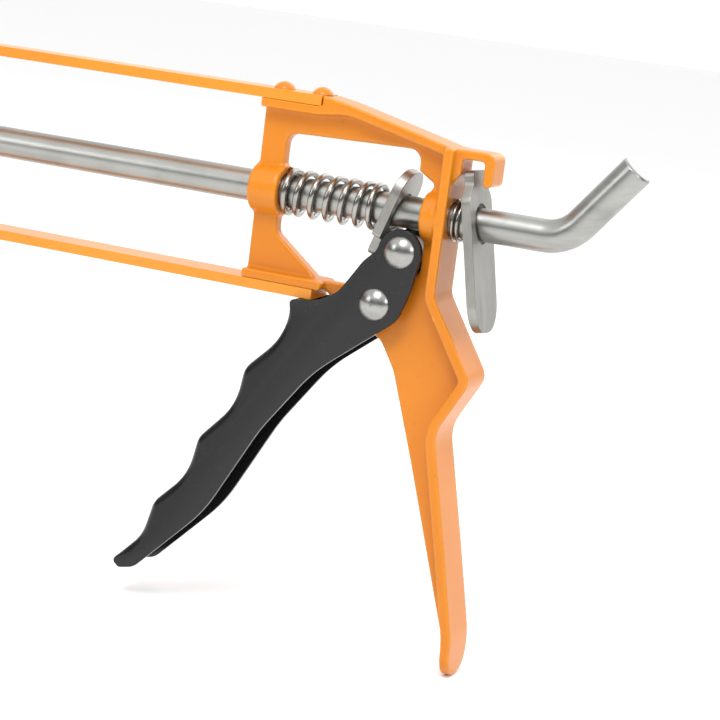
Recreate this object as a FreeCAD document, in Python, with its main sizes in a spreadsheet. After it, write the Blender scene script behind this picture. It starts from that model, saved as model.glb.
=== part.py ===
import FreeCAD, Part
import math
import os
import re

import Sketcher

# Skeleton caulking gun. +X runs along the push rod to the rear, -X to the nozzle end,
# +Z is up and the handle hangs down. The origin is where the cartridge axis meets the
# inner face of the nose plate.

doc = FreeCAD.newDocument("CaulkingGun")
sheet = doc.addObject("Spreadsheet::Sheet", "Sizes")

SIZES = {
    # cradle, which holds the cartridge
    "cradle": (225, "nose plate to the handle's front face"),
    "bar_gap": (53, "between the two frame bars"),
    "bar_width": (12, "across a frame bar"),
    "bar_wall": (3, "thickness of a frame bar"),
    "bar_bend": (2.0, "inside radius of a bar's bend at the nose"),
    "upper_bar_lap": (10.4, "how far the upper bar runs behind the front boss"),
    "lower_bar_lap": (14.5, "how far the lower bar runs behind the front boss"),
    "nose_gap": (0.1, "between the nose plate and the bars' bends"),
    "nose_wall": (2.0, "thickness of the nose plate"),
    "nose_rim": (4.5, "depth of the nose plate's turned rim"),
    "nozzle_slot": (19.5, "width of the slot that the nozzle passes through"),
    "tab_reach": (12, "how far a bar's end tab reaches inwards past the bend"),
    # rivets
    "rivet_shank": (1.5, "radius of a frame rivet"),
    "rivet_head": (3.25, "radius of a frame rivet's head"),
    "rivet_rise": (2.1, "height of a frame rivet's head"),
    "flush_head": (2.6, "radius of a lower frame rivet's head, flush in the bar"),
    "rivet_front": (-4.0, "first frame rivet, from the front boss's rear face"),
    "rivet_pitch": (12.2, "between the two frame rivets"),
    "rivet_depth": (5.5, "how deep a frame rivet goes into the casting"),
    # push rod and plunger
    "rod_radius": (4.75, "push rod"),
    "rod_fit": (0.08, "radial clearance of the rod in its bushes"),
    "plunger_place": (28, "plunger's front face, from the nose plate"),
    "plunger_gap": (4.5, "between the plunger's rim and a frame bar"),
    "plunger_wall": (1.6, "plunger disc sheet"),
    "plunger_rim": (6, "depth of the plunger's rim"),
    "spigot_radius": (3.0, "threaded front end of the rod"),
    "spigot_fit": (0.08, "radial clearance of the plunger on the spigot"),
    "washer_radius": (8, "plunger washers"),
    "washer_wall": (1.2, "thickness of a plunger washer"),
    "nut_flats": (10, "across the lock nut's flats"),
    "nut_wall": (5, "height of the lock nut"),
    "rod_straight": (80, "from the front boss's rear face to the rod's bend"),
    "rod_bend": (13, "radius of the rod's bend at its centre line"),
    "rod_turn": (52, "angle of the rod's bend, in degrees"),
    "rod_tail": (22, "straight length behind the bend"),
    "rod_edge": (0.6, "chamfer at the rod's end"),
    # handle casting
    "web": (4.4, "thickness of the casting's web"),
    "boss_radius": (7.65, "front boss"),
    "boss_length": (9.4, "front boss"),
    "rear_boss": (7.5, "radius of the rear boss"),
    "rear_boss_front": (44.6, "rear boss's front face"),
    "rear_face": (52.8, "rear face of the handle's flange"),
    "flange": (2.7, "thickness of the casting's flanges"),
    "grip_flange": (3.0, "thickness of the handle's rear flange"),
    "grip_width": (16, "across the handle's rear flange"),
    "hook_width": (10, "across the release plate's hook"),
    "handle_drop": (131.5, "rod axis to the handle's tip"),
    "window_drop": (9.1, "from the upper frame bar down to the window above the drive spring"),
    "window_round": (3.5, "corner radius of the window"),
    # trigger and its rivets
    "pivot_x": (35.0, "trigger pivot, behind the front boss"),
    "pivot_z": (-27.0, "trigger pivot, from the rod axis"),
    "drive_x": (40.7, "drive rivet, behind the front boss"),
    "drive_z": (-10.9, "drive rivet, from the rod axis"),
    "pin_shank": (2.5, "radius of a trigger rivet"),
    "pin_head": (4.7, "radius of a trigger rivet's head"),
    "pin_rise": (2.3, "height of a trigger rivet's head"),
    "pin_fit": (0.05, "radial clearance of the pivot rivet"),
    "pivot_boss": (6.2, "radius of the casting's lug round the pivot"),
    "pivot_lug": (9.6, "width of the casting's lug"),
    "shim_gap": (0.15, "each side of a pivot shim washer"),
    "shim_radius": (5.6, "pivot shim washer"),
    "cheek_gap": (0.4, "between a frame bar's edge and the trigger's cheek"),
    "trigger_wall": (1.5, "trigger's sheet"),
    "ear_radius": (6.6, "trigger's ears round the drive rivet"),
    "spacer_radius": (4.0, "spacer sleeve on the drive rivet"),
    # gripping plates and springs
    "plate_wall": (2.8, "drive plate and release plate"),
    "plate_gap": (0.35, "between the trigger's ears and the drive plate"),
    "plate_tilt": (18, "drive plate's tilt, in degrees"),
    "plate_width": (17, "across the drive plate"),
    "plate_top": (12.6, "top of the drive plate above the rod axis"),
    "plate_shoulder": (8.0, "foot of the drive plate's wide part, below the rod axis"),
    "plate_foot": (14.0, "foot of the drive plate's tongue, below the rod axis"),
    "tongue_gap": (0.7, "each side of the drive plate's tongue, between the trigger's cheeks"),
    "plate_hole": (1.05, "clearance of a plate's hole round the rod"),
    "coil_gap": (0.6, "between the rod and the drive spring's wire"),
    "coil_wire": (0.9, "wire radius of the drive spring"),
    "coil_turns": (7.5, "drive spring's turns"),
    "release_tilt": (11.4, "release plate's tilt, in degrees"),
    "release_width": (18.8, "across the release plate"),
    "release_neck": (11, "across the release plate's top"),
    "release_x": (60.2, "release plate's middle at the rod axis"),
    "release_top": (15.2, "release plate's top above the rod axis"),
    "release_foot": (31.0, "release plate's foot below the rod axis"),
    "small_gap": (0.3, "between the rod and the release spring's wire"),
    "small_wire": (0.55, "wire radius of the release spring"),
    "small_turns": (2.5, "release spring's turns"),
}

for row, (word, (value, meaning)) in enumerate(SIZES.items(), 1):
    sheet.set(f"A{row}", word)
    sheet.set(f"B{row}", str(value))
    sheet.set(f"C{row}", meaning)
    sheet.setAlias(f"B{row}", word)
doc.recompute()

WORDS = re.compile(r"\b(" + "|".join(sorted(SIZES, key=len, reverse=True)) + r")\b")


def bound(text):
    """The text with each size's word pointing at its cell."""
    return WORDS.sub(r"Sizes.\1", str(text))


def number(text):
    result = sheet.evalExpression(bound(text))
    return float(getattr(result, "Value", result))


def vector(x, y, z):
    return FreeCAD.Vector(number(x), number(y), number(z))


def new_body(label, along=0):
    """A sub-part whose own frame is moved along the rod axis."""
    body = doc.addObject("PartDesign::Body", label)
    body.Label = label
    body.Placement.Base.x = number(along)
    body.setExpression("Placement.Base.x", bound(along))
    return body


def new_sketch(body, name, role="XZ_Plane", lift=0):
    sketch = body.newObject("Sketcher::SketchObject", f"{body.Name}_{name}")
    plane = [p for p in body.Origin.OriginFeatures if p.Role == role][0]
    sketch.AttachmentSupport = (plane, [""])
    sketch.MapMode = "FlatFace"
    if lift != 0:
        sketch.AttachmentOffset.Base.z = number(lift)
        sketch.setExpression("AttachmentOffset.Base.z", bound(lift))
    return sketch


def drive(sketch, kind, *where, text):
    """A dimension bound to an expression of the sizes."""
    place = sketch.addConstraint(Sketcher.Constraint(kind, *where, number(text)))
    sketch.setExpression(f"Constraints[{place}]", bound(text))


def outline(sketch, corners):
    """A closed outline. Each corner is (x, y) or (x, y, radius), as expressions."""
    corners = [tuple(c) + (0,) * (3 - len(c)) for c in corners]
    places = [FreeCAD.Vector(number(x), number(y), 0) for x, y, r in corners]
    radii = [number(r) for x, y, r in corners]
    count = len(corners)
    ends = []
    for i, (place, radius) in enumerate(zip(places, radii)):
        if not radius:
            ends.append((place, place, None))
            continue
        back = (places[i - 1] - place).normalize()
        on = (places[(i + 1) % count] - place).normalize()
        half = math.acos(back.dot(on)) / 2
        reach = radius / math.tan(half)
        centre = place + (back + on).normalize() * (radius / math.sin(half))
        left = on.cross(back).z > 0
        ends.append((place + back * reach, place + on * reach, (centre, left)))
    lines = [sketch.addGeometry(Part.LineSegment(ends[i][1], ends[(i + 1) % count][0]), False)
             for i in range(count)]
    for i, (x, y, r) in enumerate(corners):
        before, after = lines[i - 1], lines[i]
        start, stop, round_ = ends[i]
        if round_:
            centre, left = round_
            first, last = (start, stop) if left else (stop, start)
            turn = [math.atan2(*(p - centre)[1::-1]) for p in (first, last)]
            if turn[1] < turn[0]:
                turn[1] += 2 * math.pi
            circle = Part.Circle(centre, FreeCAD.Vector(0, 0, 1), radii[i])
            arc = sketch.addGeometry(Part.ArcOfCircle(circle, *turn), False)
            entry, leave = (1, 2) if left else (2, 1)
            sketch.addConstraint(Sketcher.Constraint("Tangent", before, 2, arc, entry))
            sketch.addConstraint(Sketcher.Constraint("Tangent", arc, leave, after, 1))
            drive(sketch, "Radius", arc, text=r)
            corner = sketch.addGeometry(Part.Point(places[i]), True)
            sketch.addConstraint(Sketcher.Constraint("PointOnObject", corner, 1, before))
            sketch.addConstraint(Sketcher.Constraint("PointOnObject", corner, 1, after))
            held = corner
        else:
            sketch.addConstraint(Sketcher.Constraint("Coincident", before, 2, after, 1))
            held = after
        drive(sketch, "DistanceX", -1, 1, held, 1, text=x)
        drive(sketch, "DistanceY", -1, 1, held, 1, text=y)


def circle(sketch, x, y, radius):
    centre = FreeCAD.Vector(number(x), number(y), 0)
    ring = sketch.addGeometry(Part.Circle(centre, FreeCAD.Vector(0, 0, 1), number(radius)), False)
    drive(sketch, "DistanceX", -1, 1, ring, 3, text=x)
    drive(sketch, "DistanceY", -1, 1, ring, 3, text=y)
    drive(sketch, "Radius", ring, text=radius)


def pad(body, sketch, length):
    """Material half to each side of the sketch."""
    feature = body.newObject("PartDesign::Pad", f"{sketch.Name}_pad")
    feature.Profile = sketch
    feature.SideType = "Symmetric"
    feature.setExpression("Length", bound(length))
    sketch.Visibility = False
    return feature


def pocket(body, sketch, length):
    """A cut half to each side of the sketch, which must remove something."""
    doc.recompute()
    before = body.Shape.Volume
    feature = body.newObject("PartDesign::Pocket", f"{sketch.Name}_cut")
    feature.Profile = sketch
    feature.SideType = "Symmetric"
    feature.setExpression("Length", bound(length))
    doc.recompute()
    if not body.Shape.Volume < before - 0.01:
        raise RuntimeError(f"{feature.Name} cuts nothing")
    return feature


def revolve(body, sketch, axis="V_Axis", groove=False):
    kind = "Groove" if groove else "Revolution"
    feature = body.newObject(f"PartDesign::{kind}", f"{sketch.Name}_turn")
    feature.Profile = sketch
    feature.ReferenceAxis = (sketch, [axis])
    feature.Angle = 360
    return feature


def round_edges(body, places, radius):
    """Fillets every edge whose middle is at one of the places."""
    doc.recompute()
    base = body.Tip
    names = []
    for index, edge in enumerate(base.Shape.Edges, 1):
        middle = edge.valueAt((edge.FirstParameter + edge.LastParameter) / 2)
        if any((middle - place).Length < 0.5 for place in places):
            names.append(f"Edge{index}")
    fillet = body.newObject("PartDesign::Fillet", f"{body.Name}_round")
    fillet.Base = (base, names)
    fillet.setExpression("Radius", bound(radius))
    doc.recompute()
    return fillet


def strip(corners, wall, side):
    """The outline of a wall that follows the corners, on their left (1) or right (-1)."""
    places = [FreeCAD.Vector(number(c[0]), number(c[1]), 0) for c in corners]
    ways = [(b - a).normalize() for a, b in zip(places, places[1:])]
    inner = []
    for i, corner in enumerate(corners):
        before, after = ways[max(i - 1, 0)], ways[min(i, len(ways) - 1)]
        mid = (before + after).normalize()
        share = side / mid.dot(before)
        east, north = -mid.y * share, mid.x * share
        turn = before.cross(after).z * side
        radius = 0
        if len(corner) > 2 and abs(turn) > 1e-6:
            radius = f"{corner[2]} {'-' if turn > 0 else '+'} {wall}"
        inner.append((f"{corner[0]} + {east:.5f} * {wall}", f"{corner[1]} + {north:.5f} * {wall}", radius))
    return list(corners) + inner[::-1]


# ---- places shared by several pieces, in the frame whose X = 0 is the front boss's rear face

BOSS_FACE = "cradle + boss_length"
POST = "-boss_length + 0.9"
STEP = "upper_bar_lap + 0.4"
BORE = "rod_radius + rod_fit"
CHEEK_INSIDE = "(bar_width + 2 * cheek_gap)"
TRIGGER_WIDTH = "(bar_width + 2 * cheek_gap + 2 * trigger_wall)"

# the handle's rear face, from the hook down to the tip
GRIP_BACK = [("rear_face", 20.4), ("rear_face", -22, 5), (67.0, -44.2, 5), (58.3, -60.8, 11),
             (66.2, "37 - handle_drop", 120), (71.9, "11.5 - handle_drop", 30), (72.3, "-handle_drop")]


def handle_casting():
    body = new_body("handle_casting", BOSS_FACE)

    grip = new_sketch(body, "grip_flange")
    outline(grip, strip(GRIP_BACK, "grip_flange", -1))
    pad(body, grip, "grip_width")
    tip = [vector("72.3 - grip_flange / 2", f"{side} * grip_width / 2", "-handle_drop")
           for side in (1, -1)]
    round_edges(body, tip, "grip_width / 2 - 1.2")

    web = new_sketch(body, "web")
    outline(web, [(POST, "-bar_gap / 2"), (POST, "bar_gap / 2"), (STEP, "bar_gap / 2"),
                  (STEP, "bar_gap / 2 + bar_wall - 0.2"), (19, "bar_gap / 2 + 1.4", 15),
                  (45.5, "bar_gap / 2 - 4.7", 10), ("rear_face - 1", 20.4, 3), ("rear_face - 1", -22.6, 4),
                  (65.6, -44.2, 4), (57.0, -60.8, 12), (64.9, "37 - handle_drop", 120),
                  (70.6, "11.5 - handle_drop", 30), (71.0, "1.2 - handle_drop"), (69.4, "1.2 - handle_drop"),
                  (66.4, "12.3 - handle_drop", 8), (50.2, -70.9), (41.4, -46.0, 12), (36.4, -38.0, 5),
                  (24, -31.6, 8), (17, "-bar_gap / 2")])
    pad(body, web, "web")

    top = new_sketch(body, "top_flange")
    outline(top, [(POST, "bar_gap / 2 - flange"), (POST, "bar_gap / 2"), (STEP, "bar_gap / 2"),
                  (STEP, "bar_gap / 2 + bar_wall"), (19, "bar_gap / 2 + 1.6", 15),
                  (45.5, "bar_gap / 2 - 4.5", 10), (51.5, 20.5, 6), ("rear_face", 20.5), ("rear_face", 17.8),
                  (50.3, 17.8, 4), (44.8, "bar_gap / 2 - 4.5 - flange", 10),
                  (19, "bar_gap / 2 + 1.2 - flange", 15), (9.5, "bar_gap / 2 - flange", 6)])
    pad(body, top, "bar_width")

    foot = new_sketch(body, "foot_flange")
    outline(foot, [(POST, "-bar_gap / 2"), (17, "-bar_gap / 2", 1.2), (17, "-bar_gap / 2 + flange", 1.2),
                   (POST, "-bar_gap / 2 + flange")])
    pad(body, foot, "bar_width")

    hook = new_sketch(body, "hook")
    outline(hook, [("rear_face - 1.5", 20.5), ("rear_face + 11.5", 20.5, 2.4),
                   ("rear_face + 11.5", 10.9, 1.4), ("rear_face + 8.6", 10.9, 1.1),
                   ("rear_face + 8.6", 17.9, 0.8), ("rear_face + 1.9", 17.9, 0.8), ("rear_face + 1.9", 13.4),
                   ("rear_face", 10.4), ("rear_face - 1.5", 10.4)])
    pad(body, hook, "hook_width")

    for name, front, back, radius in (("front_boss", "-boss_length", "0", "boss_radius"),
                                      ("back_boss", "rear_boss_front", "rear_face - 0.4", "rear_boss")):
        boss = new_sketch(body, name)
        outline(boss, [(front, 0), (front, f"{radius} - 0.8"), (f"{front} + 0.8", radius),
                       (f"{back} - 0.6", radius), (back, f"{radius} - 0.6"), (back, 0)])
        revolve(body, boss, "H_Axis")

    lug = new_sketch(body, "pivot_lug")
    circle(lug, "pivot_x", "pivot_z", "pivot_boss")
    pad(body, lug, "pivot_lug")

    window = new_sketch(body, "window")
    outline(window, [(-0.8, "boss_radius - 0.3"), (-0.8, "bar_gap / 2 - window_drop - 0.3", "window_round"),
                     (41.3, "bar_gap / 2 - window_drop + 0.9", "window_round"),
                     (41.3, "bar_gap / 2 - window_drop - 5", 1), (46.6, 9.2, 0.8),
                     ("rear_boss_front + 0.3", "rear_boss - 2"), ("rear_boss_front + 0.3", "2 - rear_boss"),
                     (45.6, "-rear_boss - 1", 1), (45.6, -16.8, 3), (40.6, "pivot_z + pivot_boss + 0.4", 2),
                     (30.4, "pivot_z + pivot_boss + 0.4", 4), (22.5, "-bar_gap / 2 + flange", 8),
                     (14.2, "-bar_gap / 2 + flange"), (-0.8, -12.3, 3), (-0.8, "0.3 - boss_radius"),
                     ("0.02", "0.3 - boss_radius"), ("0.02", "boss_radius - 0.3")])
    pocket(body, window, "web + 0.02")

    bore = new_sketch(body, "rod_bore")
    outline(bore, [("-boss_length - 1", 0), ("-boss_length - 1", BORE), ("rear_face + 1", BORE),
                   ("rear_face + 1", 0)])
    revolve(body, bore, "H_Axis", groove=True)

    hole = new_sketch(body, "pivot_hole")
    circle(hole, "pivot_x", "pivot_z", "pin_shank + pin_fit")
    pocket(body, hole, "pivot_lug + 2")

    for name, side in (("upper", 1), ("lower", -1)):
        holes = new_sketch(body, f"{name}_rivet_holes", "XY_Plane",
                           f"{side} * (bar_gap / 2 - rivet_depth / 2 + 1)")
        for place in ("rivet_front", "rivet_front + rivet_pitch"):
            circle(holes, place, 0, "rivet_shank")
        pocket(body, holes, "rivet_depth + 2")
    return body


def frame_bar(label, side, lap, hole_radius):
    """A flat bar whose front end is bent inwards in front of the nose plate."""
    body = new_body(label)
    rail = f"{side} * (bar_gap / 2 + bar_wall)"
    end = f"{BOSS_FACE} + {lap}"
    shape = new_sketch(body, "rail")
    bend = "-nose_wall - bar_wall"
    route = [(end, rail), (bend, rail, "bar_bend + bar_wall"), (bend, f"{side} * (bar_gap / 2 - tab_reach)")]
    outline(shape, strip(route, "bar_wall", side))
    pad(body, shape, "bar_width")
    tab_end = f"{side} * (bar_gap / 2 - tab_reach)"
    tab_ends = [vector("-nose_wall - bar_wall / 2", f"{y} * bar_width / 2", tab_end) for y in (1, -1)]
    round_edges(body, tab_ends, "bar_width / 3")
    for place in ("rivet_front", "rivet_front + rivet_pitch"):
        holes = new_sketch(body, f"hole_{len(body.Group)}", "XY_Plane",
                           f"{side} * (bar_gap / 2 + bar_wall / 2)")
        circle(holes, f"{BOSS_FACE} + {place}", 0, hole_radius)
        pocket(body, holes, "bar_wall + 2")
    tab = new_sketch(body, "tab_hole", "YZ_Plane", "-nose_wall - bar_wall / 2")
    circle(tab, 0, f"{side} * (bar_gap / 2 - tab_reach / 2)", "rivet_shank")
    pocket(body, tab, "bar_wall + 2")
    return body


def dome(radius, rise):
    """A rivet head's dome: the part of a ball that stands rise above its rim."""
    ball = (radius * radius + rise * rise) / (2 * rise)
    sphere = Part.makeSphere(ball, FreeCAD.Vector(0, 0, rise - ball))
    return sphere.common(Part.makeCylinder(radius, rise + 1))


def headed_pin(shank, depth, head, rise, far_head=False):
    """A rivet whose head's seat is at z = 0 and whose shank points down."""
    pin = Part.makeCylinder(shank, depth, FreeCAD.Vector(0, 0, -depth)).fuse(dome(head, rise))
    if far_head:
        other = dome(head, rise)
        other.rotate(FreeCAD.Vector(), FreeCAD.Vector(1, 0, 0), 180)
        other.translate(FreeCAD.Vector(0, 0, -depth))
        pin = pin.fuse(other)
    return pin.removeSplitter()


def placed(shape, place, way):
    """The shape with its own +Z turned to the way given, at the place."""
    turned = shape.copy()
    turned.Placement = FreeCAD.Placement(place, FreeCAD.Rotation(FreeCAD.Vector(0, 0, 1), way))
    return turned


def new_feature(label, shapes):
    feature = doc.addObject("Part::Feature", label)
    feature.Label = label
    feature.Shape = Part.makeCompound(shapes)
    feature.Placement = FreeCAD.Placement()
    return feature


UP, DOWN = FreeCAD.Vector(0, 0, 1), FreeCAD.Vector(0, 0, -1)
NEAR, FRONT = FreeCAD.Vector(0, -1, 0), FreeCAD.Vector(-1, 0, 0)


def rivets():
    pin = headed_pin(number("rivet_shank"), number("rivet_depth + bar_wall"), number("rivet_head"),
                     number("rivet_rise"))
    flush = Part.makeCylinder(number("rivet_shank"), number("rivet_depth + bar_wall"),
                              vector(0, 0, "-rivet_depth - bar_wall"))
    flush = flush.fuse(Part.makeCylinder(number("flush_head"), number("bar_wall"), vector(0, 0, "-bar_wall")))
    for label, side, way, pin in (("upper_frame_rivets", 1, UP, pin), ("lower_frame_rivets", -1, DOWN, flush)):
        row = [vector(f"{BOSS_FACE} + rivet_front + {step} * rivet_pitch", 0,
                      f"{side} * (bar_gap / 2 + bar_wall)") for step in (0, 1)]
        new_feature(label, [placed(pin, place, way) for place in row])
    pin = headed_pin(number("rivet_shank"), number("bar_wall + nose_wall"), number("rivet_head"),
                     number("rivet_rise"))
    new_feature("nose_rivets", [placed(pin, vector("-nose_wall - bar_wall", 0,
                f"{side} * (bar_gap / 2 - tab_reach / 2)"), FRONT) for side in (1, -1)])
    for label, where in (("pivot_rivet", "pivot"), ("drive_rivet", "drive")):
        pin = headed_pin(number("pin_shank"), number(TRIGGER_WIDTH), number("pin_head"),
                         number("pin_rise"), far_head=True)
        place = vector(f"{BOSS_FACE} + {where}_x", f"-{TRIGGER_WIDTH} / 2", f"{where}_z")
        new_feature(label, [placed(pin, place, NEAR)])


NOSE_RADIUS = "bar_gap / 2 - bar_bend - nose_gap"


def nose_plate():
    """A round plate with a forward rim at its sides and a slot for the nozzle, open at one side."""
    body = new_body("nose_plate")
    disc = new_sketch(body, "disc")
    outline(disc, [(0, 0), (0, NOSE_RADIUS, "nose_wall"), ("-nose_rim", NOSE_RADIUS, 0.6),
                   ("-nose_rim", f"{NOSE_RADIUS} - nose_wall", 0.6), ("-nose_wall", f"{NOSE_RADIUS} - nose_wall"),
                   ("-nose_wall", 0)])
    revolve(body, disc, "H_Axis")
    gaps = new_sketch(body, "tab_gaps", "YZ_Plane", "-nose_wall - 5")
    reach = f"{NOSE_RADIUS} + 5"
    outline(gaps, [("-bar_width / 2 - 0.4", f"-({reach})"), ("bar_width / 2 + 0.4", f"-({reach})"),
                   ("bar_width / 2 + 0.4", reach), ("-bar_width / 2 - 0.4", reach)])
    pocket(body, gaps, 10)
    slot = new_sketch(body, "nozzle_slot", "YZ_Plane")
    half = "nozzle_slot / 2"
    outline(slot, [(f"-({reach})", f"-{half}"), (half, f"-{half}", f"{half} - 0.01"),
                   (half, half, f"{half} - 0.01"), (f"-({reach})", half)])
    pocket(body, slot, "4 * nose_rim")
    for side in (1, -1):
        tab = new_sketch(body, "tab_hole_" + ("upper" if side > 0 else "lower"), "YZ_Plane", "-nose_wall / 2")
        circle(tab, 0, f"{side} * (bar_gap / 2 - tab_reach / 2)", "rivet_shank")
        pocket(body, tab, "nose_wall + 2")
    return body


# ---- push rod and plunger. Stations run to the rear from the nose plate.

PLUNGER_RADIUS = "bar_gap / 2 - plunger_gap"
DISC_BACK = "plunger_place + plunger_wall"
ROD_FRONT = f"{DISC_BACK} + washer_wall"
NUT_BACK = "plunger_place - washer_wall"


def push_rod():
    body = new_body("push_rod")
    bend_at = f"{BOSS_FACE} + rod_straight"
    route = new_sketch(body, "route")
    start, corner = vector(ROD_FRONT, 0, 0), vector(bend_at, 0, 0)
    radius, turn, tail = number("rod_bend"), math.radians(number("rod_turn")), number("rod_tail")
    flat = FreeCAD.Vector(start.x, 0, 0)
    middle = FreeCAD.Vector(corner.x, radius, 0)
    straight = route.addGeometry(Part.LineSegment(flat, FreeCAD.Vector(corner.x, 0, 0)), False)
    ring = Part.Circle(middle, FreeCAD.Vector(0, 0, 1), radius)
    bend = route.addGeometry(Part.ArcOfCircle(ring, -math.pi / 2, turn - math.pi / 2), False)
    leave = middle + FreeCAD.Vector(math.sin(turn), -math.cos(turn), 0) * radius
    stop = leave + FreeCAD.Vector(math.cos(turn), math.sin(turn), 0) * tail
    last = route.addGeometry(Part.LineSegment(leave, stop), False)
    route.addConstraint(Sketcher.Constraint("Horizontal", straight))
    route.addConstraint(Sketcher.Constraint("PointOnObject", straight, 1, -1))
    route.addConstraint(Sketcher.Constraint("Tangent", straight, 2, bend, 1))
    route.addConstraint(Sketcher.Constraint("Tangent", bend, 2, last, 1))
    drive(route, "DistanceX", -1, 1, straight, 1, text=ROD_FRONT)
    drive(route, "DistanceX", -1, 1, straight, 2, text=bend_at)
    drive(route, "Radius", bend, text="rod_bend")
    drive(route, "Distance", last, text="rod_tail")
    place = route.addConstraint(Sketcher.Constraint("Angle", last, turn))
    route.setExpression(f"Constraints[{place}]", bound("rod_turn * 1 deg"))
    section = new_sketch(body, "section", "YZ_Plane", ROD_FRONT)
    circle(section, 0, 0, "rod_radius")
    pipe = body.newObject("PartDesign::AdditivePipe", "push_rod_pipe")
    pipe.Profile = section
    pipe.Spine = (route, [])
    end = body.newObject("PartDesign::Chamfer", "push_rod_end")
    doc.recompute()
    far = max(range(len(pipe.Shape.Edges)), key=lambda i: pipe.Shape.Edges[i].BoundBox.Center.x)
    end.Base = (pipe, [f"Edge{far + 1}"])
    end.setExpression("Size", bound("rod_edge"))
    spigot = new_sketch(body, "spigot")
    front = f"{NUT_BACK} - nut_wall - 1.6"
    outline(spigot, [(front, 0), (front, "spigot_radius - 0.7"), (f"{front} + 0.7", "spigot_radius"),
                     (f"{ROD_FRONT} + 0.5", "spigot_radius"), (f"{ROD_FRONT} + 0.5", 0)])
    revolve(body, spigot, "H_Axis")
    return body


def turned_ring(label, front, wall, inner, outer, edge=0.3):
    """A washer or sleeve round the rod axis, its rims eased."""
    body = new_body(label)
    ring = new_sketch(body, "section")
    back = f"{front} + {wall}"
    outline(ring, [(front, inner), (front, f"{outer} - {edge}"), (f"{front} + {edge}", outer),
                   (f"{back} - {edge}", outer), (back, f"{outer} - {edge}"), (back, inner)])
    revolve(body, ring, "H_Axis")
    return body


def plunger():
    """A stamped disc whose rim is turned to the rear, held on the rod's threaded spigot."""
    body = new_body("plunger_disc", "plunger_place")
    disc = new_sketch(body, "disc")
    outline(disc, [(0, "spigot_radius + spigot_fit"), (0, PLUNGER_RADIUS, "plunger_wall + 1"),
                   ("plunger_rim", PLUNGER_RADIUS, 0.5), ("plunger_rim", f"{PLUNGER_RADIUS} - plunger_wall", 0.5),
                   ("plunger_wall", f"{PLUNGER_RADIUS} - plunger_wall", 1),
                   ("plunger_wall", "spigot_radius + spigot_fit")])
    revolve(body, disc, "H_Axis")
    turned_ring("plunger_backing_washer", DISC_BACK, "washer_wall", "spigot_radius", "washer_radius")
    turned_ring("plunger_front_washer", NUT_BACK, "washer_wall", "spigot_radius", "washer_radius")
    nut = new_body("plunger_lock_nut", f"{NUT_BACK} - nut_wall")
    flats = new_sketch(nut, "flats", "YZ_Plane", "nut_wall / 2")
    corner = "nut_flats / 2 / cos(30 deg)"
    outline(flats, [(f"{corner} * cos({60 * i} deg)", f"{corner} * sin({60 * i} deg)") for i in range(6)])
    pad(nut, flats, "nut_wall")
    bore = new_sketch(nut, "bore", "YZ_Plane", "nut_wall / 2")
    circle(bore, 0, 0, "spigot_radius")
    pocket(nut, bore, "nut_wall + 2")
    for front, way in ((0, 1), ("nut_wall", -1)):
        ease = new_sketch(nut, "ease_front" if way > 0 else "ease_back")
        outline(ease, [(f"{front} - {way}", "nut_flats / 2 - 0.1"), (f"{front} - {way}", "nut_flats"),
                       (f"{front} + {way} * 1.9", "nut_flats"), (front, "nut_flats / 2 - 0.1")])
        revolve(nut, ease, "H_Axis", groove=True)
    return body


# ---- trigger. Its front is pressed into three finger hollows.

TRIGGER_FRONT = [(8.8, "-bar_gap / 2 - 3.6", 1.6), (7.8, -41.5, 20), (-3.7, -53.2, 7), (-5.3, -65.0, 20),
                 (-16.2, -77.1, 7), (-18.4, -89.3, 20), (-28.6, -99.8, 7), (-31.4, -111.2, 14), (-40.2, -120.6)]


def trigger_lever():
    """A channel of pressed sheet, open to the rear, with two ears round the drive rivet."""
    body = new_body("trigger_lever", BOSS_FACE)
    neck = [("drive_x - ear_radius + 0.5", "drive_z + 0.4"), (30.0, -15.2, 6), (23.4, -25.6, 9),
            (17.2, "-bar_gap / 2 - 2.4", 8)]
    back = [(-37.6, -122.8, 1.6), (-32.5, -121.6, 5), (-11.2, -99.4, 50), (4.0, -70.6, 60), (18.6, -50.2, 50),
            (42.6, -30.6, 9), (45.6, -21.0, 20), ("drive_x + ear_radius - 0.2", "drive_z - 1.2"),
            ("drive_x", "drive_z + 3")]
    lever = new_sketch(body, "lever")
    outline(lever, neck + TRIGGER_FRONT[:-1] + [TRIGGER_FRONT[-1] + (1.6,)] + back)
    pad(body, lever, TRIGGER_WIDTH)
    ears = new_sketch(body, "ears")
    circle(ears, "drive_x", "drive_z", "ear_radius")
    pad(body, ears, TRIGGER_WIDTH)
    channel = new_sketch(body, "channel")
    inner = strip(TRIGGER_FRONT, "trigger_wall", 1)[len(TRIGGER_FRONT):]
    outline(channel, inner + [(inner[-1][0], 10), (80, 10), (80, -140), (-20, -140)])
    pocket(body, channel, CHEEK_INSIDE)
    for name in ("pivot", "drive"):
        hole = new_sketch(body, f"{name}_hole")
        circle(hole, f"{name}_x", f"{name}_z", "pin_shank")
        pocket(body, hole, f"{TRIGGER_WIDTH} + 2")
    return body


def pivot_parts():
    """Shims that centre the casting's lug between the cheeks, and the drive rivet's sleeve."""
    for side, label in ((1, "near_pivot_shim"), (-1, "far_pivot_shim")):
        body = new_body(label, BOSS_FACE)
        ring = new_sketch(body, "ring", "XZ_Plane", f"{side} * ({CHEEK_INSIDE} + pivot_lug) / 4")
        circle(ring, "pivot_x", "pivot_z", "shim_radius")
        circle(ring, "pivot_x", "pivot_z", "pin_shank")
        pad(body, ring, f"({CHEEK_INSIDE} - pivot_lug) / 2 - 2 * shim_gap")
    body = new_body("drive_spacer", BOSS_FACE)
    ring = new_sketch(body, "ring")
    circle(ring, "drive_x", "drive_z", "spacer_radius")
    circle(ring, "drive_x", "drive_z", "pin_shank")
    pad(body, ring, CHEEK_INSIDE)


# ---- plates that grip the rod, and their springs

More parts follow.
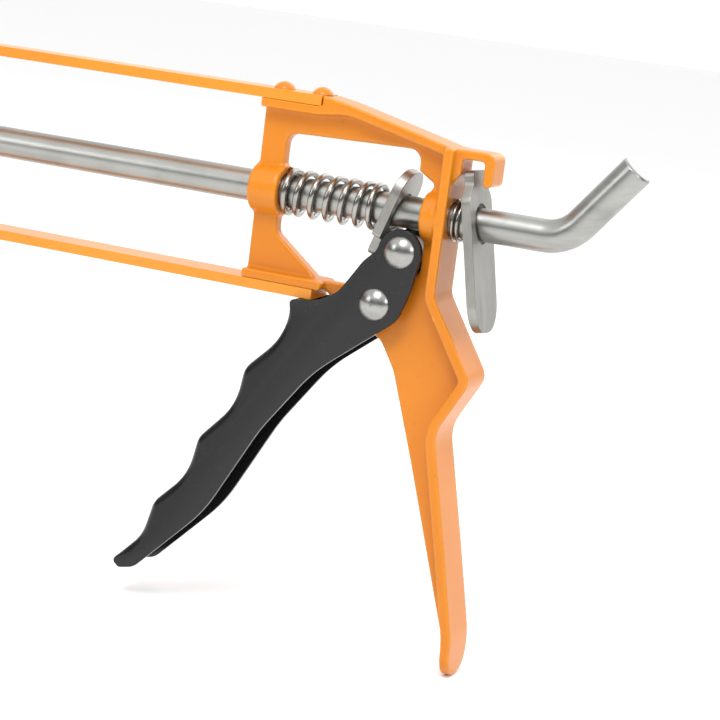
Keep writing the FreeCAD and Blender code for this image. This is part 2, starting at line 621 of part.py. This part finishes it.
def tilted_plate(label, along, tilt, corners):
    """A flat plate in its own upright frame on the rod axis, then tilted with its place."""
    body = new_body(label)
    turn = FreeCAD.Rotation(FreeCAD.Vector(0, 1, 0), number(tilt))
    body.Placement = FreeCAD.Placement(vector(along, 0, 0), turn)
    body.setExpression("Placement.Base.x", bound(along))
    body.setExpression("Placement.Rotation.Angle", bound(f"{tilt} * 1 deg"))
    face = new_sketch(body, "face", "YZ_Plane")
    outline(face, corners)
    pad(body, face, "plate_wall")
    hole = new_sketch(body, "hole", "YZ_Plane")
    circle(hole, 0, 0, "rod_radius + plate_hole")
    pocket(body, hole, "plate_wall + 2")
    return body


# the drive plate stands clear of the ears by the gap, measured square to the plate
PLATE_REACH = "(ear_radius + plate_gap + plate_wall / 2) / cos(plate_tilt * 1 deg)"
PLATE_PLACE = f"{BOSS_FACE} + drive_x - drive_z * tan(plate_tilt * 1 deg) - {PLATE_REACH}"
HALF_TONGUE = f"{CHEEK_INSIDE} / 2 - tongue_gap"


def gripping_plates():
    half, top = "plate_width / 2", "plate_top"
    tilted_plate("drive_plate", PLATE_PLACE, "plate_tilt",
                 [(f"-{half}", "-plate_shoulder", 1), (f"-({HALF_TONGUE})", "-plate_shoulder", 1),
                  (f"-({HALF_TONGUE})", "-plate_foot", 2), (HALF_TONGUE, "-plate_foot", 2),
                  (HALF_TONGUE, "-plate_shoulder", 1), (half, "-plate_shoulder", 1),
                  (half, top, "plate_width / 2 - 1"), (f"-{half}", top, "plate_width / 2 - 1")])
    half, neck, top = "release_width / 2", "release_neck / 2", "release_top"
    tilted_plate("release_plate", f"{BOSS_FACE} + release_x", "-release_tilt",
                 [(f"-{half}", "-release_foot", "release_width / 2 - 1"),
                  (half, "-release_foot", "release_width / 2 - 1"), (half, "release_top - 8", 4),
                  (neck, "release_top - 3.5", 3), (neck, top, 2), (f"-{neck}", top, 2),
                  (f"-{neck}", "release_top - 3.5", 3), (f"-{half}", "release_top - 8", 4)])


def spring(label, front, length, gap, wire, turns):
    """A round-wire spring round the rod axis, between two flat stations."""
    body = new_body(label, front)
    mean = f"rod_radius + {gap} + {wire}"
    section = new_sketch(body, "wire")
    circle(section, wire, mean, wire)
    coil = body.newObject("PartDesign::AdditiveHelix", f"{label}_coil")
    coil.Profile = section
    coil.ReferenceAxis = (section, ["H_Axis"])
    coil.Mode = "height-turns-angle"
    coil.setExpression("Height", bound(f"{length} - 2 * {wire}"))
    coil.setExpression("Turns", bound(turns))
    doc.recompute()
    return body


# each spring fills the space that its tilted plate leaves
DRIVE_COIL = "(rod_radius + coil_gap + 2 * coil_wire)"
RELEASE_COIL = "(rod_radius + small_gap + 2 * small_wire)"
DRIVE_SPAN = (f"drive_x - drive_z * tan(plate_tilt * 1 deg) - {PLATE_REACH}"
              f" - plate_wall / 2 / cos(plate_tilt * 1 deg) - {DRIVE_COIL} * tan(plate_tilt * 1 deg) - 0.2")
RELEASE_SPAN = ("release_x - plate_wall / 2 / cos(release_tilt * 1 deg)"
                f" - {RELEASE_COIL} * tan(release_tilt * 1 deg) - rear_face - 0.1")


def springs():
    spring("drive_spring", BOSS_FACE, DRIVE_SPAN, "coil_gap", "coil_wire", "coil_turns")
    spring("release_spring", f"{BOSS_FACE} + rear_face", RELEASE_SPAN, "small_gap", "small_wire",
           "small_turns")


def write_parts():
    doc.recompute()
    for item in doc.Objects:
        if "Invalid" in item.State or "Error" in item.State:
            raise RuntimeError(f"{item.Name}: {item.getStatusString()}")
    pieces = [item for item in doc.Objects if item.TypeId in ("PartDesign::Body", "Part::Feature")]
    for piece in pieces:
        if piece.Shape.isNull() or not piece.Shape.isValid() or not piece.Shape.Solids:
            raise RuntimeError(f"{piece.Label} has no sound shape")
    os.makedirs("parts", exist_ok=True)
    for piece in pieces:
        piece.Shape.exportStep(os.path.join("parts", f"{piece.Label}.step"))
        print(f"{piece.Label}: {piece.Shape.Volume:.0f} mm3")


handle_casting()
frame_bar("upper_frame_bar", 1, "upper_bar_lap", "rivet_shank")
frame_bar("lower_frame_bar", -1, "lower_bar_lap", "flush_head")
nose_plate()
rivets()
push_rod()
plunger()
trigger_lever()
pivot_parts()
gripping_plates()
springs()
write_parts()
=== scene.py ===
import math

import bmesh
import bpy
from mathutils import Matrix, Vector


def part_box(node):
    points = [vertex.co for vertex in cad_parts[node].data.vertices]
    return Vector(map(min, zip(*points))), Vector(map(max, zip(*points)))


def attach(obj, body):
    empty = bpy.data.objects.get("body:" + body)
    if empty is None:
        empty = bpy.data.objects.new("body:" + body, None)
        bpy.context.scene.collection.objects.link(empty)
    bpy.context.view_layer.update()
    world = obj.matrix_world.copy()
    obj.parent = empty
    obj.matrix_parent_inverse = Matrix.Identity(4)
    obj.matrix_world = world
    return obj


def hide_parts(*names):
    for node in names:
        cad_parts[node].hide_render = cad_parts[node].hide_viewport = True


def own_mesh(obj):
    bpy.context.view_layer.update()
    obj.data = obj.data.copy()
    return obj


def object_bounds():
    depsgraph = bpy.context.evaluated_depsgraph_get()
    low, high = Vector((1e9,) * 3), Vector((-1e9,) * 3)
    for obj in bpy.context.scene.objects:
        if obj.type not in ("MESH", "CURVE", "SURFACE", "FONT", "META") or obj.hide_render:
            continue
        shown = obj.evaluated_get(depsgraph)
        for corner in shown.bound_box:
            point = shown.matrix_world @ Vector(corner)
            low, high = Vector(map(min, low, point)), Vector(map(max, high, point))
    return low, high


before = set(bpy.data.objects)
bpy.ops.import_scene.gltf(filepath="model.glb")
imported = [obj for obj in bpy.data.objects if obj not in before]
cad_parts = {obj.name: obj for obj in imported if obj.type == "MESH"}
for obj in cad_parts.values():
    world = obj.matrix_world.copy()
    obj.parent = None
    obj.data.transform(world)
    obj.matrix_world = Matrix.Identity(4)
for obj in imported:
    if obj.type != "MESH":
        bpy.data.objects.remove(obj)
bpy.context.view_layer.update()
scene = bpy.context.scene
mm = 0.001

# the front boss's rear face is where the handle's own sizes start
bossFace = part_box("handle_casting")[0].x + 9.4 * mm
print("frame loaded")


# camera

view = {"lens": 100, "turn": 21.1, "rise": 10.9, "roll": 7.36,
        "place": (236.9, -536.06, 65.38)}  # mm, from the front boss's rear face on the rod axis


def makeCamera():
    turn, rise, roll = (math.radians(view[k]) for k in ("turn", "rise", "roll"))
    back = Vector((math.sin(turn) * math.cos(rise), -math.cos(turn) * math.cos(rise), math.sin(rise)))
    right = (-back).cross(Vector((0, 0, 1))).normalized()
    up = right.cross(-back)
    leanRight = right * math.cos(roll) + up * math.sin(roll)
    leanUp = up * math.cos(roll) - right * math.sin(roll)
    data = bpy.data.cameras.new("viewer")
    data.lens = view["lens"]
    data.clip_start = 0.02
    camera = bpy.data.objects.new("viewer", data)
    scene.collection.objects.link(camera)
    turned = Matrix((leanRight, leanUp, back)).transposed().to_4x4()
    camera.matrix_world = Matrix.Translation(Vector(view["place"]) * mm + Vector((bossFace, 0, 0))) @ turned
    scene.camera = camera


makeCamera()
print("camera ready")


# shader maths: a socket that adds its own Math nodes

class Signal:
    def __init__(self, tree, socket):
        self.tree, self.socket = tree, socket

    def math(self, operation, *others):
        node = self.tree.nodes.new("ShaderNodeMath")
        node.operation = operation
        for slot, value in zip(node.inputs, (self,) + others):
            if isinstance(value, Signal):
                self.tree.links.new(value.socket, slot)
            else:
                slot.default_value = value
        return Signal(self.tree, node.outputs[0])

    def __add__(self, other):
        return self.math("ADD", other)

    def __sub__(self, other):
        return self.math("SUBTRACT", other)

    def __rsub__(self, other):
        return (self * -1).math("ADD", other)

    def __mul__(self, other):
        return self.math("MULTIPLY", other)

    __radd__, __rmul__ = __add__, __mul__

    def ramp(self, low, high):  # 0 below low, 1 above high
        return ((self - low) * (1 / (high - low))).math("MAXIMUM", 0.0).math("MINIMUM", 1.0)


# studio

studio = {"floorGap": 0.2 * mm, "floorSize": 14.0, "floor": (0.93, 0.93, 0.93),
          "dim": 0.16, "bright": 1.15,
          "lamps": (("key", (0.10, -0.75, 1.05), 0.5, 9), ("side", (1.25, -0.45, 0.5), 0.3, 3),
                    ("fill", (-0.8, -0.9, 0.45), 0.4, 2), ("behind", (0.3, 1.1, 0.8), 1.2, 5))}


def softWorld():  # bright above and behind the object, dim at its sides and behind the viewer
    world = bpy.data.worlds.new("studio")
    world.use_nodes = True
    tree = world.node_tree
    parts = tree.nodes.new("ShaderNodeSeparateXYZ")
    tree.links.new(tree.nodes.new("ShaderNodeTexCoord").outputs["Generated"], parts.inputs[0])
    overhead = Signal(tree, parts.outputs["Z"]).ramp(0.25, 0.6)
    behind = Signal(tree, parts.outputs["Y"]).ramp(0.25, 0.6)
    light = overhead.math("MAXIMUM", behind) * (studio["bright"] - studio["dim"]) + studio["dim"]
    tree.links.new(light.socket, tree.nodes["Background"].inputs["Strength"])
    tree.nodes["Background"].inputs["Color"].default_value = (1, 1, 1, 1)
    return world


def makeStudio():
    scene.view_settings.view_transform = "Standard"
    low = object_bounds()[0][2] - studio["floorGap"]
    half = studio["floorSize"] / 2
    mesh = bpy.data.meshes.new("floor")
    mesh.from_pydata([(-half, -half, low), (half, -half, low), (half, half, low), (-half, half, low)],
                     [], [(0, 1, 2, 3)])
    floor = bpy.data.objects.new("floor", mesh)
    scene.collection.objects.link(floor)
    paint = bpy.data.materials.new("floorPaint")
    paint.use_nodes = True
    shader = paint.node_tree.nodes["Principled BSDF"]
    shader.inputs["Base Color"].default_value = (*studio["floor"], 1)
    shader.inputs["Roughness"].default_value = 0.9
    mesh.materials.append(paint)
    scene.world = softWorld()
    aim = Vector((bossFace, 0, -0.02))
    for name, place, size, power in studio["lamps"]:
        data = bpy.data.lights.new(name, "AREA")
        data.energy = power
        data.size = size
        lamp = bpy.data.objects.new(name, data)
        scene.collection.objects.link(lamp)
        lamp.location = Vector(place) + Vector((bossFace, 0, 0))
        lamp.rotation_euler = (aim - lamp.location).to_track_quat("-Z", "Y").to_euler()


makeStudio()
print("studio ready")


# finishes

class Finish:  # a material on one principled shader

    def __init__(self, name, **fixed):
        self.material = bpy.data.materials.new(name)
        self.material.use_nodes = True
        self.tree = self.material.node_tree
        self.shader = self.tree.nodes["Principled BSDF"]
        for key, value in fixed.items():
            self.shader.inputs[key.replace("_", " ")].default_value = value
        self.place = self.node("ShaderNodeTexCoord").outputs["Object"]

    def node(self, kind, settings=None, **sockets):
        made = self.tree.nodes.new(kind)
        for key, value in (settings or {}).items():
            setattr(made, key, value)
        for key, value in sockets.items():
            self.feed(made.inputs[key.replace("_", " ")], value)
        return made

    def feed(self, socket, value):
        value = getattr(value, "socket", value)
        if isinstance(value, bpy.types.NodeSocket):
            self.tree.links.new(value, socket)
        else:
            socket.default_value = value

    def signal(self, socket):
        return Signal(self.tree, socket)

    def noise(self, scale, detail=3.0, roughness=0.5, stretch=(1, 1, 1)):  # a small stretch draws it out
        spot = self.place
        if stretch != (1, 1, 1):
            spot = self.node("ShaderNodeMapping", Vector=self.place, Scale=stretch).outputs[0]
        made = self.node("ShaderNodeTexNoise", Vector=spot, Scale=scale, Detail=detail, Roughness=roughness)
        return self.signal(made.outputs[0])

    def mix(self, amount, first, second):
        made = self.node("ShaderNodeMix", {"data_type": "RGBA"})
        self.feed(made.inputs[0], amount)
        self.feed(made.inputs[6], first)
        self.feed(made.inputs[7], second)
        return made.outputs[2]

    def edges(self, low=0.51, high=0.56):  # 1 on outside edges; castPaint and blackPaint paint a highlight into the colour there
        return self.signal(self.node("ShaderNodeNewGeometry").outputs["Pointiness"]).ramp(low, high)

    def hollows(self, low=0.42, high=0.495):  # 1 deep in a fillet or corner; castPaint paints shade into the colour there
        return 1 - self.signal(self.node("ShaderNodeNewGeometry").outputs["Pointiness"]).ramp(low, high)

    def bump(self, height, strength, distance):
        made = self.node("ShaderNodeBump", Height=height, Strength=strength, Distance=distance)
        self.feed(self.shader.inputs["Normal"], made.outputs[0])

    def finish(self, **varying):
        for key, value in varying.items():
            self.feed(self.shader.inputs[key.replace("_", " ")], value)
        return self.material


def rgb(red, green, blue):
    return (red, green, blue, 1)


orange = rgb(0.70, 0.225, 0.008)


def castPaint(name, peel=0.12):
    paint = Finish(name, Specular_IOR_Level=0.35, Coat_Roughness=0.12)
    broad = paint.noise(22, 2)
    fine = paint.noise(900, 2, 0.6)
    hollowShade = paint.hollows(0.40, 0.49)
    edge = paint.edges(0.515, 0.60)
    colour = paint.mix(broad.ramp(0.3, 0.7), orange, rgb(0.62, 0.19, 0.006))
    # painted shade: the hollow mask darkens fillets and corners towards deep brown, where shade falls
    colour = paint.mix(hollowShade * 0.75, colour, rgb(0.22, 0.05, 0.003))
    # painted highlight: outside edges brightened towards pale orange
    colour = paint.mix(edge * 0.45, colour, rgb(0.95, 0.42, 0.04))
    specks = paint.noise(420, 1).ramp(0.70, 0.76)
    colour = paint.mix(specks * 0.25, colour, rgb(0.45, 0.14, 0.01))
    paint.bump(paint.noise(330, 2) * 0.7 + fine * 0.3, peel, 0.0004)
    return paint.finish(Base_Color=colour, Roughness=0.27 + broad * 0.12 + hollowShade * 0.12,
                        Coat_Weight=0.12 + edge * 0.2)


def blackPaint(name):
    paint = Finish(name, Specular_IOR_Level=0.35, Coat_Roughness=0.12)
    broad = paint.noise(30, 2)
    edge = paint.edges(0.51, 0.56)
    colour = paint.mix(broad, rgb(0.004, 0.004, 0.0045), rgb(0.007, 0.007, 0.0075))
    # painted highlight: outside edges lightened on the black paint
    colour = paint.mix(edge * 0.35, colour, rgb(0.02, 0.02, 0.021))
    dust = paint.noise(700, 1).ramp(0.68, 0.75)
    colour = paint.mix(dust * 0.25, colour, rgb(0.03, 0.03, 0.031))
    paint.bump(paint.noise(420, 3), 0.07, 0.0003)
    return paint.finish(Base_Color=colour, Roughness=0.24 + broad * 0.08 - edge * 0.1, Coat_Weight=edge * 0.3)


def zincPlate(name, tone=(0.55, 0.55, 0.53), grain=(0.04, 1, 1), rough=0.27, scratch=0.05):
    metal = Finish(name, Metallic=1.0)
    streak = metal.noise(260, 3, 0.6, grain)
    cloud = metal.noise(60, 3)
    spangle = metal.noise(420, 2)
    pale = rgb(*(min(c * 1.22, 1) for c in tone))
    dark = rgb(*(c * 0.72 for c in tone))
    colour = metal.mix(streak.ramp(0.3, 0.72), dark, rgb(*tone))
    colour = metal.mix(cloud.ramp(0.4, 0.75) * 0.5, colour, pale)
    colour = metal.mix(spangle.ramp(0.64, 0.74) * 0.3, colour, dark)
    metal.bump(streak * 0.6 + spangle * 0.4, scratch, 0.0002)
    return metal.finish(Base_Color=colour, Roughness=rough + streak * 0.14 + cloud * 0.08)


finishes = {
    "casting": castPaint("orangeCastingPaint"),
    "bar": castPaint("orangeBarPaint", 0.05),
    "trigger": blackPaint("blackTriggerPaint"),
    "rod": zincPlate("zincRod", (0.40, 0.40, 0.38), (0.03, 1, 1), 0.22, 0.14),
    "plate": zincPlate("platedSheet", (0.36, 0.355, 0.33), (1, 1, 0.15), 0.28, 0.12),
    "rivet": zincPlate("brightRivet", (0.42, 0.42, 0.40), (1, 1, 1), 0.17, 0.08),
    "spring": zincPlate("springWire", (0.40, 0.38, 0.35), (0.5, 1, 1), 0.10, 0.04),
    "fastener": zincPlate("zincFastener", (0.42, 0.42, 0.40), (1, 1, 1), 0.26, 0.08),
}
print("finishes ready")


# pieces that start from a node's own mesh

def newPiece(name, mesh, finish, body, nodes=()):
    piece = bpy.data.objects.new(name, mesh)
    scene.collection.objects.link(piece)
    mesh.materials.clear()
    mesh.materials.append(finishes[finish])
    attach(piece, body)
    if nodes:
        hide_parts(*nodes)
    return piece


def mergedCopy(node, flatten=0.6):
    work = bmesh.new()
    work.from_mesh(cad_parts[node].data)
    bmesh.ops.remove_doubles(work, verts=work.verts, dist=0.002 * mm)
    bmesh.ops.dissolve_limit(work, angle_limit=math.radians(flatten), verts=work.verts, edges=work.edges)
    mesh = bpy.data.meshes.new(node + "Mesh")
    work.to_mesh(mesh)
    work.free()
    return mesh


def evaluated(mesh, modifiers):  # the mesh with a row of modifiers applied
    holder = bpy.data.objects.new("holder", mesh)
    scene.collection.objects.link(holder)
    for kind, settings in modifiers:
        modifier = holder.modifiers.new(kind, kind)
        for key, value in settings.items():
            setattr(modifier, key, value)
    done = bpy.data.meshes.new_from_object(holder.evaluated_get(bpy.context.evaluated_depsgraph_get()))
    bpy.data.objects.remove(holder)
    return done


def shadeByAngle(mesh, angle):
    mesh.shade_smooth()
    mesh.set_sharp_from_angle(angle=math.radians(angle))


def flatFaced(mesh, angle):  # big faces stay flat and only the narrow ones between them turn
    shadeByAngle(mesh, angle)
    return evaluated(mesh, [("WEIGHTED_NORMAL", {"keep_sharp": True, "weight": 100})])


def easedMesh(node, ease, steps=2, angle=28):
    bevel = {"width": ease * mm, "segments": steps, "limit_method": "ANGLE",
             "angle_limit": math.radians(angle), "use_clamp_overlap": True, "harden_normals": False}
    return flatFaced(evaluated(mergedCopy(node), [("BEVEL", bevel)]), 40)


def castMesh(node, voxel, rounds):
    remesh = {"mode": "VOXEL", "voxel_size": voxel * mm, "adaptivity": 0.0}
    soften = {"factor": 0.5, "iterations": rounds}
    mesh = evaluated(mergedCopy(node, 0.05), [("REMESH", remesh), ("SMOOTH", soften)])
    mesh.shade_smooth()
    return mesh


castings = {"handle_casting": {"voxel": 0.48, "rounds": 4}}
easedNodes = {
    "upper_frame_bar": (0.35, "bar", "frame", "orange_bar"),
    "lower_frame_bar": (0.35, "bar", "frame", "orange_bar"),
    "nose_plate": (0.3, "bar", "frame", "orange_bar"),
    "nose_rivets": (0.1, "bar", "frame", "orange_rivet"),
    "upper_frame_rivets": (0.1, "bar", "frame", "orange_rivet"),
    "lower_frame_rivets": (0.1, "bar", "frame", "orange_rivet"),
    "plunger_disc": (0.1, "fastener", "plunger", "zinc_sheet"),
    "plunger_backing_washer": (0.1, "fastener", "rod", "zinc_fastener"),
    "plunger_front_washer": (0.1, "fastener", "rod", "zinc_fastener"),
    "plunger_lock_nut": (0.1, "fastener", "rod", "zinc_fastener"),
    "near_pivot_shim": (0.1, "fastener", "trigger", "zinc_fastener"),
    "far_pivot_shim": (0.1, "fastener", "trigger", "zinc_fastener"),
    "drive_spacer": (0.1, "fastener", "trigger", "zinc_fastener"),
    "pivot_rivet": (0.1, "rivet", "trigger", "bright_rivet"),
    "drive_rivet": (0.1, "rivet", "trigger", "bright_rivet"),
    "drive_plate": (0.3, "plate", "driver", "plate_steel"),
    "release_plate": (0.35, "plate", "releaser", "plate_steel"),
    "push_rod": (0.1, "rod", "rod", "zinc_rod"),
}


def easedPieces():
    for node, (ease, finish, body, slot) in easedNodes.items():
        newPiece(node + "_shown", easedMesh(node, ease), finish, body, (node,))


def castPieces():
    for node, choice in castings.items():
        mesh = castMesh(node, choice["voxel"], choice["rounds"])
        piece = newPiece(node + "_shown", mesh, "casting", "frame", (node,))
        print(piece.name, len(mesh.polygons), "faces")


easedPieces()
castPieces()
print("pieces ready")


# trigger: a pressed channel whose front edges are rolled round

trigger = {"roll": 2.7, "innerRoll": 1.2, "ease": 0.25, "wall": 1.5, "step": 1.2,
           "top": -29.9, "tip": -121.4, "taper": 7.0,
           "levels": (0, 0.04, 0.12, 0.25, 0.5, 0.85, 1.3, 1.8, 2.25, 2.7),
           "behind": ((80, 10), (80, -140), (-20, -140))}  # mm, the last from the boss face


def cheekLoop(node, half):  # the outline of the flat cheek, as points across its own plane
    work = bmesh.new()
    work.from_mesh(mergedCopy(node, 0.01))
    cheek = {face for face in work.faces
             if face.normal.y < -0.99 and abs(face.calc_center_median().y + half) < 0.01 * mm}
    after = {}
    for face in cheek:
        for loop in face.loops:
            others = [other for other in loop.edge.link_faces if other in cheek and other != face]
            if not others:
                after[loop.vert.index] = loop.link_loop_next.vert.index
    spots = {vert.index: Vector((vert.co.x, vert.co.z)) for vert in work.verts}
    work.free()
    rings = []
    while after:
        ring = [next(iter(after))]
        while ring[-1] in after:
            ring.append(after.pop(ring[-1]))
        rings.append([spots[i] for i in ring[:-1]])
    return max(rings, key=len)


def densified(loop, step):
    dense = []
    for here, there in zip(loop, loop[1:] + loop[:1]):
        count = max(1, math.ceil((there - here).length / step))
        dense += [here.lerp(there, i / count) for i in range(count)]
    return dense


def outwards(loop):
    ways = []
    for before, here, there in zip(loop[-1:] + loop[:-1], loop, loop[1:] + loop[:1]):
        along = (here - before).normalized() + (there - here).normalized()
        ways.append(Vector((along.y, -along.x)).normalized())
    area = sum(a.x * b.y - b.x * a.y for a, b in zip(loop, loop[1:] + loop[:1]))
    return ways if area > 0 else [-way for way in ways]


def rollShare(spot, way):  # 1 along the front, 0 round the rest
    if way.x > -0.02:
        return 0
    nearest = min(trigger["top"] - spot.y / mm, spot.y / mm - trigger["tip"])
    share = max(0, min(1, nearest / trigger["taper"]))
    return share * share * (3 - 2 * share)


def quarter(depth, radius):
    return 0 if depth >= radius else radius - math.sqrt(radius ** 2 - (radius - depth) ** 2)


def stacked(name, loop, ways, shares, half, roll, ease):  # a closed solid from near side to far side
    depths = [d * roll / trigger["roll"] * mm for d in trigger["levels"]]
    levels = [(-half + d, d) for d in depths] + [(half - d, d) for d in reversed(depths)]
    verts = []
    for across, depth in levels:
        for spot, way, share in zip(loop, ways, shares):
            inset = share * quarter(depth, roll * mm) + (1 - share) * quarter(depth, ease * mm)
            verts.append((spot.x - way.x * inset, across, spot.y - way.y * inset))
    count = len(loop)
    faces = [tuple(range(count)), tuple(reversed(range(len(verts) - count, len(verts))))]
    for row in range(len(levels) - 1):
        for i in range(count):
            a, b = row * count + i, row * count + (i + 1) % count
            faces.append((b, a, a + count, b + count))
    mesh = bpy.data.meshes.new(name)
    mesh.from_pydata(verts, [], faces)
    work = bmesh.new()
    work.from_mesh(mesh)
    bmesh.ops.recalc_face_normals(work, faces=work.faces)
    work.to_mesh(mesh)
    work.free()
    return mesh


def cutBy(mesh, cutter):
    tool = bpy.data.objects.new("tool", cutter)
    scene.collection.objects.link(tool)
    done = evaluated(mesh, [("BOOLEAN", {"object": tool, "operation": "DIFFERENCE", "solver": "EXACT"})])
    bpy.data.objects.remove(tool)
    return done


def triggerPiece():
    node = "trigger_lever"
    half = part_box(node)[1].y
    loop = densified(cheekLoop(node, half), trigger["step"] * mm)
    ways = outwards(loop)
    shares = [rollShare(spot, way) for spot, way in zip(loop, ways)]
    mesh = stacked("triggerShell", loop, ways, shares, half, trigger["roll"], trigger["ease"])
    wall = trigger["wall"] * mm
    front = [i for i, share in enumerate(shares) if share > 0]
    first = next(i for i in front if i - 1 not in front and (i or len(loop)) - 1 not in front)
    order = [(first + i) % len(loop) for i in range(len(front))]
    if loop[order[0]].y > loop[order[-1]].y:
        order.reverse()
    inner = [loop[i] - ways[i] * wall for i in order]
    back = [Vector((bossFace + x * mm, z * mm)) for x, z in trigger["behind"]]
    channel = inner + [Vector((inner[-1].x, back[0].y))] + back
    share = [shares[i] for i in order] + [0] * (len(back) + 1)
    away = outwards(channel)
    cutter = stacked("triggerChannel", channel, away, share, half - wall, trigger["innerRoll"], 0.01)
    mesh = flatFaced(cutBy(mesh, cutter), 45)
    newPiece("trigger_lever_shown", mesh, "trigger", "trigger", (node,))
    print("trigger", len(mesh.polygons), "faces")


# springs: a wire along a helix whose end coils lie closed

coils = {"drive_spring": {"wire": 0.9, "turns": 7.5, "closed": 1.0,
                          "joint": "drive_slide", "travel": 12.5},
         "release_spring": {"wire": 0.55, "turns": 2.5, "closed": 0.3,
                            "joint": "release_press", "travel": 1.9}}  # mm
stepsPerTurn = 40
wireSides = 14
closedPitch = 2.04  # of the wire's radius, so closed coils nearly touch


class Builder:  # a geometry node tree whose settings are named inputs

    def __init__(self, name, settings):
        self.tree = bpy.data.node_groups.new(name, "GeometryNodeTree")
        face = self.tree.interface
        face.new_socket("Geometry", in_out="INPUT", socket_type="NodeSocketGeometry")
        self.keys = {}
        for key, value in settings.items():
            kind = "NodeSocketInt" if isinstance(value, int) else "NodeSocketFloat"
            self.keys[key] = face.new_socket(key, in_out="INPUT", socket_type=kind).identifier
        face.new_socket("Geometry", in_out="OUTPUT", socket_type="NodeSocketGeometry")
        self.start = self.tree.nodes.new("NodeGroupInput")
        self.settings = settings

    def value(self, key):
        return Signal(self.tree, self.start.outputs[key])

    def node(self, kind, settings=None, **sockets):
        made = self.tree.nodes.new(kind)
        for key, value in (settings or {}).items():
            setattr(made, key, value)
        for key, value in sockets.items():
            value = getattr(value, "socket", value)
            target = made.inputs[key.replace("_", " ")]
            if isinstance(value, bpy.types.NodeSocket):
                self.tree.links.new(value, target)
            else:
                target.default_value = value
        return made

    def mesh(self, geometry, material):
        real = self.node("GeometryNodeRealizeInstances", Geometry=geometry)
        done = self.node("GeometryNodeSetMaterial", Geometry=real.outputs[0], Material=material)
        end = self.tree.nodes.new("NodeGroupOutput")
        self.tree.links.new(done.outputs[0], end.inputs[0])
        holder = bpy.data.objects.new("holder", bpy.data.meshes.new("holder"))
        scene.collection.objects.link(holder)
        modifier = holder.modifiers.new("build", "NODES")
        modifier.node_group = self.tree
        for key, value in self.settings.items():
            modifier[self.keys[key]] = value
        holder.update_tag()
        graph = bpy.context.evaluated_depsgraph_get()
        result = bpy.data.meshes.new_from_object(holder.evaluated_get(graph))
        bpy.data.objects.remove(holder)
        return result


def springPiece(node):
    choice = coils[node]
    low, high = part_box(node)
    radius = (high.y - low.y) / 2 - choice["wire"] * mm
    length = high.x - low.x
    settings = {"Start": low.x + choice["wire"] * mm, "Rise": length - 2 * choice["wire"] * mm,
                "Radius": radius, "Wire": choice["wire"] * mm, "Turns": choice["turns"],
                "Closed": choice["closed"], "Points": int(choice["turns"] * stepsPerTurn)}
    build = Builder(node + "Coil", settings)
    count = build.value("Points")
    line = build.node("GeometryNodeCurvePrimitiveLine")
    even = build.node("GeometryNodeResampleCurve", Curve=line.outputs[0], Count=count)
    spot = Signal(build.tree, build.node("GeometryNodeInputIndex").outputs[0])
    turns, closed, wire = build.value("Turns"), build.value("Closed"), build.value("Wire")
    turn = spot * turns.math("DIVIDE", count - 1)
    flat = wire * closedPitch
    pitch = (build.value("Rise") - flat * closed * 2).math("DIVIDE", turns - closed * 2)
    first = turn.math("MINIMUM", closed)
    last = (turn - turns + closed).math("MAXIMUM", 0.0)
    along = build.value("Start") + (first + last) * flat + (turn - first - last) * pitch
    angle = turn * (2 * math.pi)
    place = build.node("ShaderNodeCombineXYZ", X=along, Y=angle.math("SINE") * build.value("Radius"),
                       Z=angle.math("COSINE") * build.value("Radius"))
    coil = build.node("GeometryNodeSetPosition", Geometry=even.outputs[0], Position=place.outputs[0])
    ring = build.node("GeometryNodeCurvePrimitiveCircle", Resolution=wireSides, Radius=wire)
    tube = build.node("GeometryNodeCurveToMesh", Curve=coil.outputs[0], Profile_Curve=ring.outputs[0],
                      Fill_Caps=True)
    mesh = build.mesh(tube.outputs[0], finishes["spring"])
    shadeByAngle(mesh, 50)
    piece = newPiece(node + "_shown", mesh, "spring", "frame", (node,))
    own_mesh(piece)


triggerPiece()
for node in coils:
    springPiece(node)
print("trigger and springs ready")
